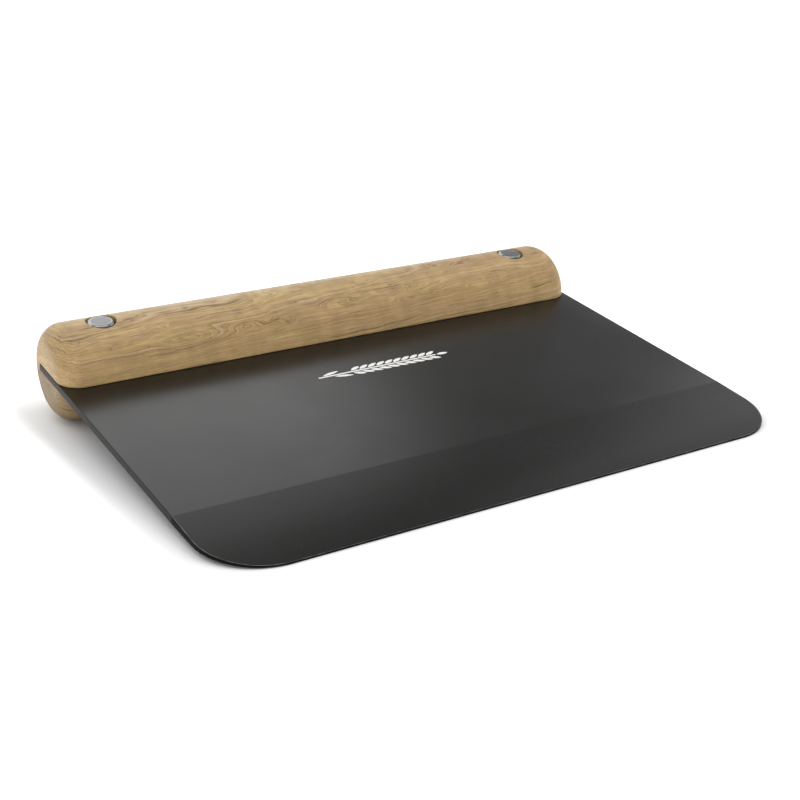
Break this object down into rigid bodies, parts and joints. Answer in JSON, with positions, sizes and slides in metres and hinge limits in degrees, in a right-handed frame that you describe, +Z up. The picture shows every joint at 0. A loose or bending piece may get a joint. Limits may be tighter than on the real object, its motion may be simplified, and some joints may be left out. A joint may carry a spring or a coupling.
{
  "type": "dough cutter",
  "caption": "Wide flat dough cutter and scraper: a black steel blade with rounded front corners, bolted in the kerf of a round-ended turned wooden handle.",
  "frame": {"origin": "centre of the bounding box's underside, on the worktop that the cutter lies on", "axes": "+X along the handle to the right, +Y from the cutting edge towards the handle, +Z up"},
  "size_m": [0.2, 0.144, 0.032],
  "materials": {
    "wood": "pale knotty hardwood, oiled, satin, grain along the handle",
    "blade_coating": "black non-stick coating, satin",
    "fastener_steel": "bare, polished shoulders, fine matt flats",
    "printed_mark": "matt white print"
  },
  "bodies": {
    "root": {"handle": "wood", "blade": "blade_coating", "left_barrel_nut": "fastener_steel", "left_socket_screw": "fastener_steel", "right_barrel_nut": "fastener_steel", "right_socket_screw": "fastener_steel"}
  },
  "joints": []
}
